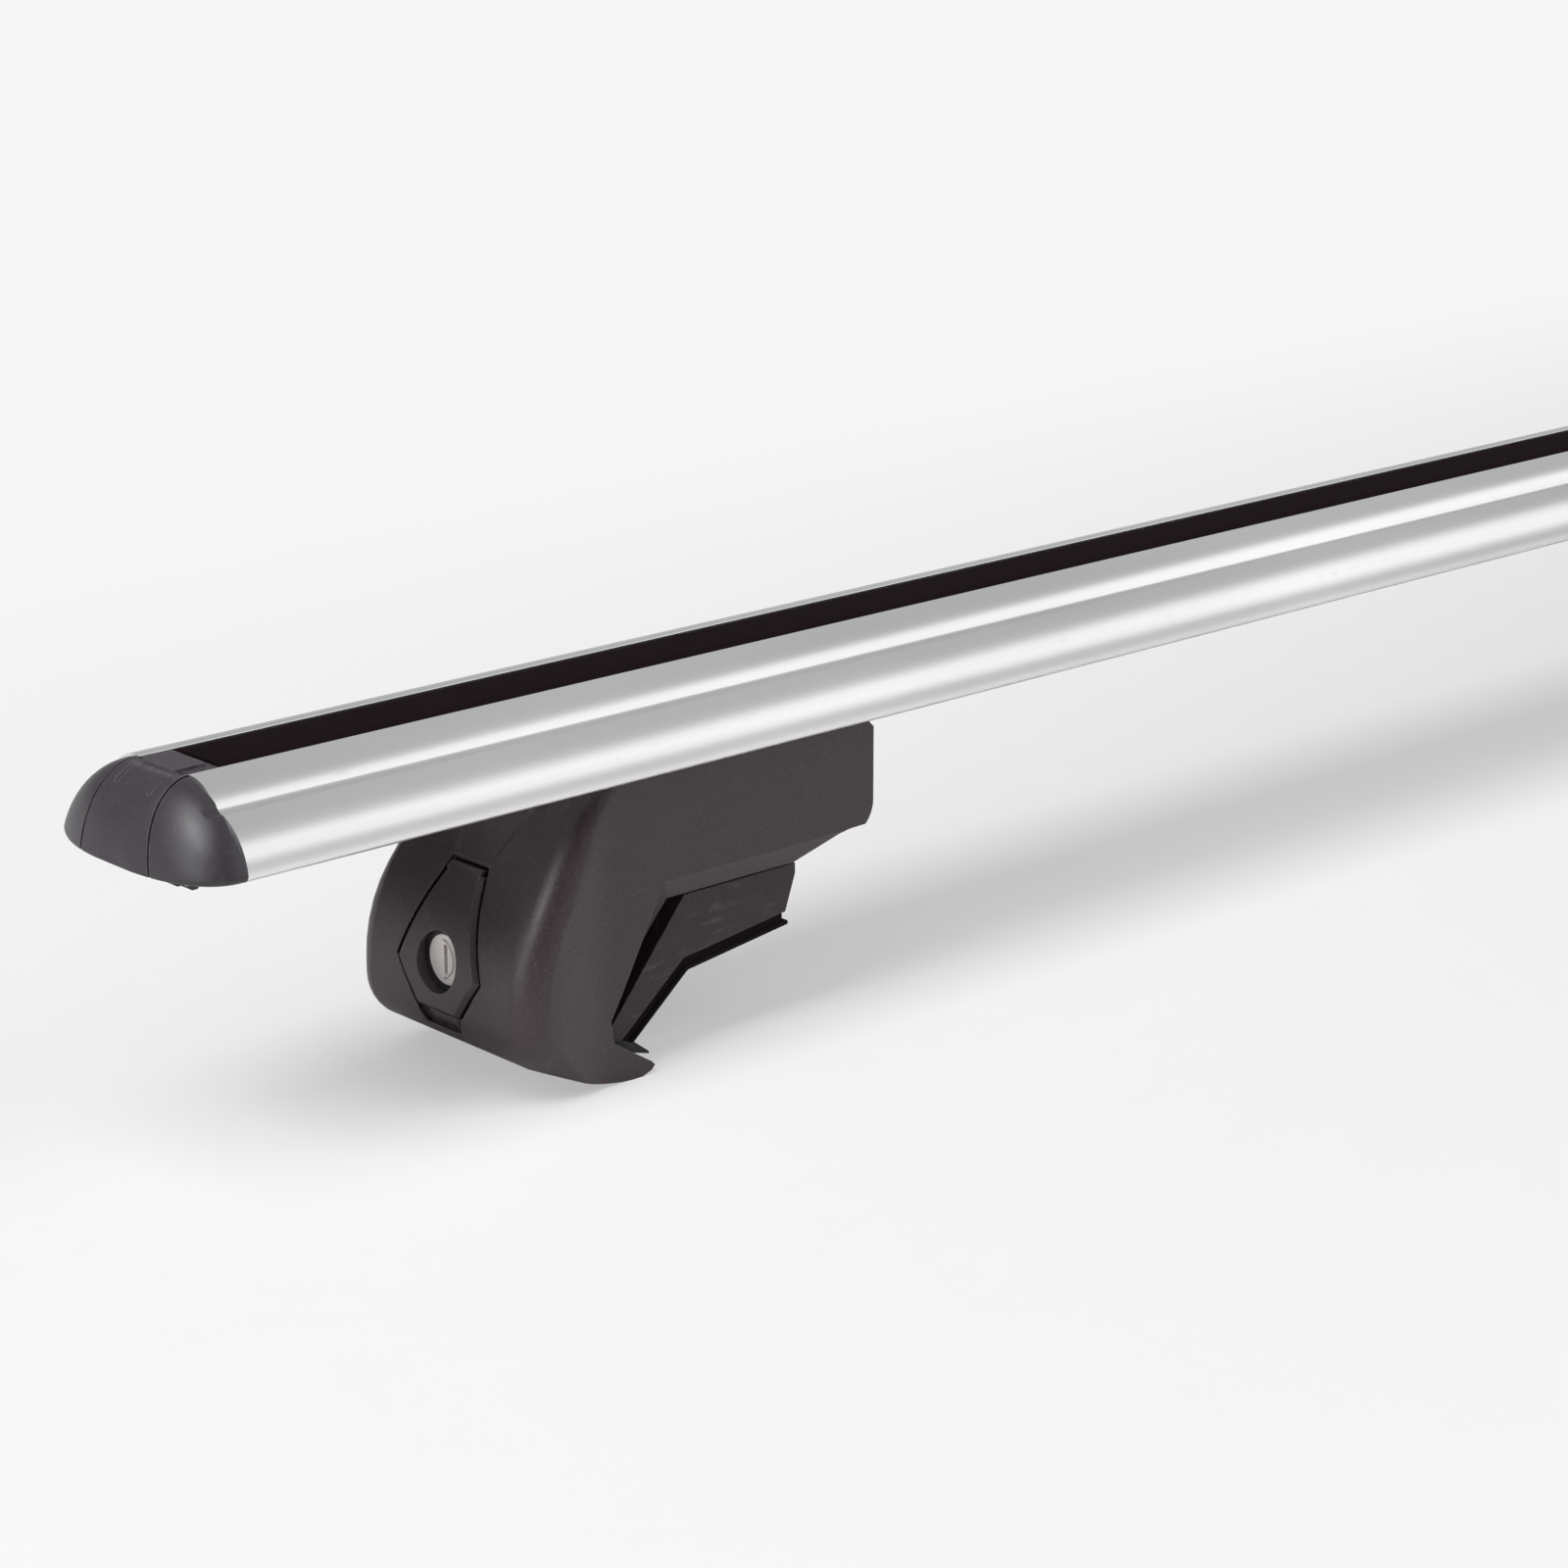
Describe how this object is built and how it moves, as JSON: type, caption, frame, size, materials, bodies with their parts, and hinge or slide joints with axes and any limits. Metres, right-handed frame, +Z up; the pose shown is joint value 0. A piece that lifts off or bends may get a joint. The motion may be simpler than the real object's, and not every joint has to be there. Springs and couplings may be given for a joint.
{
  "type": "roof rack crossbar",
  "caption": "Aluminium roof bar with a rubber-filled top slot, end caps with hinged flaps and locking feet that clamp on roof rails.",
  "frame": {"origin": "on the ground plane under the middle of the bar, level with the undersides of both hooks", "axes": "+X along the bar, +Y across it, +Z up from the hooks to the bar"},
  "size_m": [1.202, 0.0758, 0.108],
  "materials": {
    "anodised_bar": "satin anodised",
    "strip_rubber": "satin",
    "cap_plastic": "satin",
    "foot_plastic": "fine grain",
    "cover_plastic": "satin",
    "saddle_plastic": "scuffed",
    "pad_rubber": "matt",
    "zinc_steel": "zinc plated",
    "black_steel": "black coated",
    "lock_metal": "nickel plated"
  },
  "bodies": {
    "bar": {"bar_profile": "anodised_bar", "slot_strip": "strip_rubber", "end_cap_left": "cap_plastic", "end_cap_right": "cap_plastic", "flap_pin_left": "zinc_steel", "flap_pin_right": "zinc_steel"},
    "flap_left": {"end_flap_left": "cap_plastic"},
    "carrier_left": {"bracket_left": "zinc_steel", "saddle_left": "saddle_plastic", "rail_pad_left": "pad_rubber", "barrel_nut_left": "zinc_steel", "slot_bolts_left": "zinc_steel", "slot_washers_left": "zinc_steel", "slot_nuts_left": "zinc_steel", "saddle_screws_left": "zinc_steel"},
    "claw_left": {"foot_casing_left": "foot_plastic", "hook_plate_left": "black_steel", "bolt_washer_left": "zinc_steel", "cover_pin_left": "zinc_steel"},
    "bolt_left": {"clamp_bolt_left": "zinc_steel"},
    "cover_left": {"lock_cover_left": "cover_plastic", "lock_barrel_left": "foot_plastic"},
    "plug_left": {"lock_plug_left": "lock_metal", "lock_cam_left": "zinc_steel"},
    "flap_right": {"end_flap_right": "cap_plastic"},
    "carrier_right": {"bracket_right": "zinc_steel", "saddle_right": "saddle_plastic", "rail_pad_right": "pad_rubber", "barrel_nut_right": "zinc_steel", "slot_bolts_right": "zinc_steel", "slot_washers_right": "zinc_steel", "slot_nuts_right": "zinc_steel", "saddle_screws_right": "zinc_steel"},
    "claw_right": {"foot_casing_right": "foot_plastic", "hook_plate_right": "black_steel", "bolt_washer_right": "zinc_steel", "cover_pin_right": "zinc_steel"},
    "bolt_right": {"clamp_bolt_right": "zinc_steel"},
    "cover_right": {"lock_cover_right": "cover_plastic", "lock_barrel_right": "foot_plastic"},
    "plug_right": {"lock_plug_right": "lock_metal", "lock_cam_right": "zinc_steel"}
  },
  "joints": [
    {"name": "flap_hinge_left", "type": "hinge", "parent": "bar", "child": "flap_left", "pos_m": [-0.5914, 0, 0.0826], "axis": [0, -1, 0], "range_deg": [0, 100]},
    {"name": "foot_slide_left", "type": "slide", "parent": "bar", "child": "carrier_left", "axis": [1, 0, 0], "range_m": [-0.08, 0.1]},
    {"name": "clamp_travel_left", "type": "slide", "parent": "carrier_left", "child": "claw_left", "axis": [1, 0, 0], "range_m": [-0.0102, 0]},
    {"name": "bolt_turn_left", "type": "hinge", "parent": "claw_left", "child": "bolt_left", "pos_m": [-0.485, 0, 0.053], "axis": [1, 0, 0], "range_deg": [-2880, 0]},
    {"name": "cover_hinge_left", "type": "hinge", "parent": "claw_left", "child": "cover_left", "pos_m": [-0.48919, 0, 0.0578], "axis": [0, 1, 0], "range_deg": [0, 75]},
    {"name": "lock_turn_left", "type": "hinge", "parent": "cover_left", "child": "plug_left", "pos_m": [-0.498, 0, 0.035], "axis": [-1, 0, 0], "range_deg": [0, 180]},
    {"name": "flap_hinge_right", "type": "hinge", "parent": "bar", "child": "flap_right", "pos_m": [0.5914, 0, 0.0826], "axis": [0, 1, 0], "range_deg": [0, 100]},
    {"name": "foot_slide_right", "type": "slide", "parent": "bar", "child": "carrier_right", "axis": [-1, 0, 0], "range_m": [-0.08, 0.1]},
    {"name": "clamp_travel_right", "type": "slide", "parent": "carrier_right", "child": "claw_right", "axis": [-1, 0, 0], "range_m": [-0.0102, 0]},
    {"name": "bolt_turn_right", "type": "hinge", "parent": "claw_right", "child": "bolt_right", "pos_m": [0.485, 0, 0.053], "axis": [-1, 0, 0], "range_deg": [-2880, 0]},
    {"name": "cover_hinge_right", "type": "hinge", "parent": "claw_right", "child": "cover_right", "pos_m": [0.48919, 0, 0.0578], "axis": [0, -1, 0], "range_deg": [0, 75]},
    {"name": "lock_turn_right", "type": "hinge", "parent": "cover_right", "child": "plug_right", "pos_m": [0.498, 0, 0.035], "axis": [-1, 0, 0], "range_deg": [0, 180]}
  ],
  "couplings": [
    {"joint": "clamp_travel_left", "follows": "bolt_turn_left", "m_per_rad": 0.00019894},
    {"joint": "clamp_travel_right", "follows": "bolt_turn_right", "m_per_rad": 0.00019894}
  ]
}
